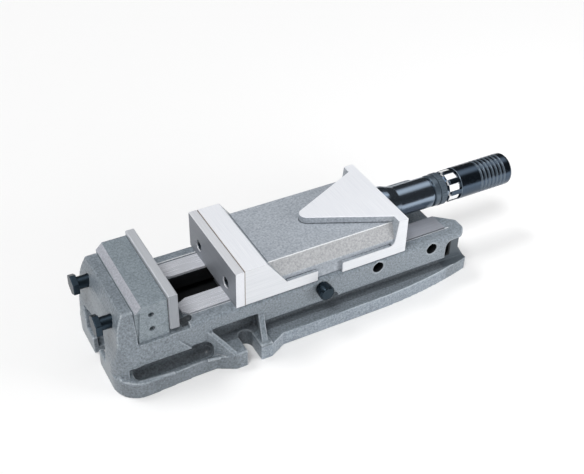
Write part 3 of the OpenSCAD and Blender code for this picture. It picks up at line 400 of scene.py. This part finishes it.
PANEL_Z, STRIP_Z = 135.7 * MM, 103.3 * MM
reach = 1 * MM
for face in moving_jaw.data.polygons:
    flat_top = face.center.z > jaw_high.z - reach
    side = abs(face.center.y) > jaw_high.y - reach
    rear = face.center.x > jaw_high.x - reach
    turned = 0.15 < abs(face.normal.z) < 0.97
    if face.center.x < jaw_low.x + reach and face.normal.x > -0.95:
        face.material_index = OIL
    # The ground sides are painted a little darker than the lands, as shade.
    elif side:
        face.material_index = SIDE
    # Painted shade along the foot of the lands.
    elif turned and any(0 < face.center.z - z < reach for z in (PANEL_Z, STRIP_Z)):
        face.material_index = LAND_FOOT_SHADE
    # A painted highlight on the panel's edge.
    elif turned and -reach < face.center.z - PANEL_Z < 0:
        face.material_index = PANEL_EDGE_HIGHLIGHT
    elif not (flat_top or rear):
        slanted = abs(face.normal.y) > 0.6 and face.normal.z > 0.3
        face.material_index = SLANT if slanted else PANEL

# Plate of the moving jaw: hardened steel, ground crosswise, whose clamping face is painted darker
# as shade and dark reflection.
# Two socket screws hold it.
plate_steel = ground_steel("ground_plate_bright", "e8eaee", "d8dae0", along=1, rough=0.34,
                           line=0.6 * MM, metallic=0.3)
moving_plate = machined("moving_jaw_plate", "jaw", plate_steel, broken=0.5)
moving_plate.data.materials.append(
    ground_steel("ground_clamping_face_in_shade", "8e9299", "7d8188", along=1, rough=0.5, line=0.6 * MM,
                 metallic=0.2))
# The clamping face is painted darker, as shade and dark reflection.
for face in moving_plate.data.polygons:
    if face.normal.x < -0.9:
        face.material_index = 1
machined("moving_plate_screws", "jaw", screw_black, broken=0.4)

# Keys, hold-down plates and their screws below the moving jaw, and the nut carrier in the
# channel: milled steel, the keys faced with a red-brown bronze.
key_bronze = ground_steel("milled_bronze", "d08068", "b0654c", along=0, rough=0.4, metallic=0.2)
milled_steel = ground_steel("milled_steel", "8d9297", "777c82", along=0, rough=0.4)
machined("guide_keys", "jaw", key_bronze)
machined("hold_down_plates", "jaw", milled_steel)
machined("nut_carrier", "bed", milled_steel)
machined("hold_down_screws", "jaw", screw_black, broken=0.3)

# Locating pin and its knob: turned, with black oxide.
machined("locating_pin", "pin", screw_black)
machined("pin_knob", "pin",
         black_oxide("black_oxide_on_knob", "37434c", "2a353d", rough=0.22), broken=0.8, steps=3)

# Booster: a blackened tube with its collar at the jaw, its blued end ring and the knurled
# ring that sets the pressure.
tube_black = black_oxide("black_oxide_on_tube", "8896a6", "7b8897", rough=0.2)
machined("tube_collar", "jaw", tube_black)
machined("booster_tube", "jaw", tube_black)
machined("end_ring", "jaw",
         black_oxide("blued_steel", "5c6874", "4e5a65", rough=0.3, metallic=0.6))
machined("preset_ring", "preset",
         black_oxide("black_oxide_on_knurl", "56626d", "47525d", rough=0.36, metallic=0.4),
         broken=0.3)

# Claw clutch: the hub's claws are ground bright and its base is painted black as the shade in the
# gaps, the sleeve with its fingers is black, and a painted highlight lies on the edges of its grip
# grooves.
HUB_RING, GROOVE_REACH, END_RING = 4.3 * MM, 1.6 * MM, 4 * MM
claw_steel = ground_steel("ground_claw_steel", "f8f9fa", "eceef1", along=0, rough=0.25,
                          metallic=0.25)
hub = machined("claw_hub", "spindle", claw_steel)
# The hub's base, seen in the gaps between the fingers, is painted black as shade.
hub.data.materials.append(tube_black)
claw_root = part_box("claw_hub")[0].x + HUB_RING
for face in hub.data.polygons:
    if face.center.x < claw_root:
        face.material_index = 1
sleeve = machined("drive_sleeve", "sleeve",
                  black_oxide("black_oxide_on_sleeve", "4e5b6a", "424e5c", rough=0.22), broken=0.3)
sleeve.data.materials.append(
    black_oxide("highlight_on_groove_edges", "707c88", "5e6a76", rough=0.3, metallic=0.5))
sleeve_low, sleeve_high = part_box("drive_sleeve")
sleeve_y, sleeve_z = ((sleeve_low[i] + sleeve_high[i]) / 2 for i in (1, 2))
groove_r = (sleeve_high.z - sleeve_low.z) / 2 - GROOVE_REACH
# A painted highlight on the edges of the grip grooves.
for face in sleeve.data.polygons:
    outer = math.hypot(face.center.y - sleeve_y, face.center.z - sleeve_z) > groove_r
    if outer and abs(face.normal.x) > 0.2 and face.center.x < sleeve_high.x - END_RING:
        face.material_index = 1
machined("drive_socket", "sleeve", milled_steel)

# Parts inside the drive: turned and hardened steel, and the seal of black rubber. The
# clutch's spring stands on the bolt's head, under the sleeve.
turned_steel = ground_steel("turned_steel", "b5babf", "9ea4aa", along=1, rough=0.3)
for name in ("spindle", "booster_plunger", "disc_springs", "push_rod", "bearing_front_washer",
             "bearing_balls", "bearing_rear_washer", "retaining_bolt"):
    nodes[name].data.materials.clear()
    nodes[name].data.materials.append(turned_steel)
spring = copy_of("clutch_spring", "clutch-spring-piece")
spring.data.materials.append(turned_steel)
bpy.ops.object.shade_smooth_by_angle(angle=math.radians(40))
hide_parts("clutch_spring")
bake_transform(spring)
nodes["spindle_nut"].data.materials.clear()
nodes["spindle_nut"].data.materials.append(key_bronze)
rubber, tree, shader, place = start_finish("nitrile_rubber")
shader.inputs["Base Color"].default_value = linear("141516")
shader.inputs["Roughness"].default_value = 0.6
dust = add(tree, "TexNoise", {"Vector": place, "Scale": 1 / (0.4 * MM), "Detail": 3})
skin = add(tree, "Bump", {"Height": dust.outputs[0], "Strength": 0.3, "Distance": 0.03 * MM})
tree.links.new(skin.outputs[0], shader.inputs["Normal"])
nodes["tube_seal"].data.materials.clear()
nodes["tube_seal"].data.materials.append(rubber)

# Floor: a plain white sheet under the vise, which keeps its soft shadow. A faint glow that
# only the camera sees brings it up to the white of the room.
FLOOR_SIDE, FLOOR_DROP, FLOOR_GLOW = 12.0, 0.3 * MM, 0.1
bpy.ops.object.select_all(action="DESELECT")
bpy.ops.mesh.primitive_plane_add(size=FLOOR_SIDE, location=(0, 0, -FLOOR_DROP))
floor = bpy.context.object
floor.name = "floor"
paper, tree, shader, place = start_finish("white_paper")
shader.inputs["Base Color"].default_value = (0.8, 0.8, 0.8, 1)
shader.inputs["Roughness"].default_value = 0.9
shader.inputs["Specular IOR Level"].default_value = 0.1
seen = add(tree, "LightPath").outputs["Is Camera Ray"]
glow = add(tree, "Math", {0: seen, 1: FLOOR_GLOW}, operation="MULTIPLY")
tree.links.new(glow.outputs[0], shader.inputs["Emission Strength"])
shader.inputs["Emission Color"].default_value = (1, 1, 1, 1)
floor.data.materials.append(paper)

# Light: a pale room with a soft box overhead, which the steel mirrors, two broad lamps
# high up on the left, before and behind the vise, and soft low panels in front, which
# the steel doesn't mirror.
ROOM_LIGHT, ROOM_GLOSS, SOFTBOX_GLOSS = 0.34, 0.08, 1.5
world = bpy.data.worlds.new("pale_room")
bpy.context.scene.world = world
world.use_nodes = True
world.cycles.sampling_method = "NONE"
tree = world.node_tree
tree.nodes.clear()
overhead = Vector((0.385, 0.13, 0.914)).normalized()
look = add(tree, "VectorMath", {0: add(tree, "TexCoord").outputs["Generated"], 1: overhead},
           operation="DOT_PRODUCT")
softbox = add(tree, "MapRange", {"Value": look.outputs["Value"], "From Min": 0.9,
                                 "From Max": 0.985, "To Min": ROOM_GLOSS,
                                 "To Max": SOFTBOX_GLOSS})
path = add(tree, "LightPath")
level = add(tree, "Mix", {0: path.outputs["Is Glossy Ray"], 2: ROOM_LIGHT,
                          3: softbox.outputs[0]})
level = add(tree, "Mix", {0: path.outputs["Is Camera Ray"], 2: level.outputs[0], 3: 1.0})
back = add(tree, "Background", {"Color": (1, 1, 1, 1), "Strength": level.outputs[0]})
add(tree, "OutputWorld", {"Surface": back.outputs[0]})


def panel(name, at, aim, size, watts):
    """One soft light panel, turned to what it lights and left out of reflections."""
    lamp = bpy.data.lights.new(name, "AREA")
    lamp.shape = "RECTANGLE"
    lamp.size, lamp.size_y = size
    lamp.energy = watts
    holder = bpy.data.objects.new(name, lamp)
    holder.location = at
    holder.rotation_euler = (Vector(aim) - Vector(at)).to_track_quat("-Z", "Y").to_euler()
    holder.visible_glossy = False
    bpy.context.scene.collection.objects.link(holder)


SUN_SPREAD = math.radians(22)
for name, strength, toward in (("key_lamp", 1.4, (-0.40, -0.30, 0.86)),
                               ("back_lamp", 1.2, (-0.35, 0.38, 0.85))):
    lamp = bpy.data.lights.new(name, "SUN")
    lamp.energy = strength
    lamp.angle = SUN_SPREAD
    holder = bpy.data.objects.new(name, lamp)
    holder.rotation_euler = Vector(toward).to_track_quat("Z", "Y").to_euler()
    bpy.context.scene.collection.objects.link(holder)
panel("front_panel", (-0.25, -1.6, 0.3), (0.22, 0, 0.08), (1.0, 0.4), 3.5)
panel("right_panel", (0.95, -0.85, 0.4), (0.45, -0.08, 0.04), (0.5, 0.4), 6)

# Camera: the photograph's view, from the front left above, with a long lens.
IMAGE_W, IMAGE_H, SENSOR = 584, 474, 36.0
FOCAL_PX = 962.179
CENTRE_PX = (292.129, 236.521)
turn, rise, roll = (math.radians(a) for a in (-29.3016, 38.1386, 1.4830))
target = Vector((0.185, 0, 0.070))
aside, above, distance = 28.1245 * MM, 40.7797 * MM, 1.444767
away = Vector((math.sin(turn) * math.cos(rise), -math.cos(turn) * math.cos(rise), math.sin(rise)))
level_right = Vector((math.cos(turn), math.sin(turn), 0))
level_up = away.cross(level_right)
right = math.cos(roll) * level_right + math.sin(roll) * level_up
up = -math.sin(roll) * level_right + math.cos(roll) * level_up
lens = bpy.data.cameras.new("camera")
lens.sensor_width = SENSOR
lens.lens = FOCAL_PX / IMAGE_W * SENSOR
lens.shift_x = (IMAGE_W / 2 - CENTRE_PX[0]) / IMAGE_W
lens.shift_y = (CENTRE_PX[1] - IMAGE_H / 2) / IMAGE_W
lens.clip_start, lens.clip_end = 0.05, 50
camera = bpy.data.objects.new("camera", lens)
place = Matrix((right, up, away)).transposed().to_4x4()
place.translation = target + aside * right + above * up + distance * away
camera.matrix_world = place
bpy.context.scene.collection.objects.link(camera)
bpy.context.scene.camera = camera
bpy.context.scene.view_settings.view_transform = "Standard"
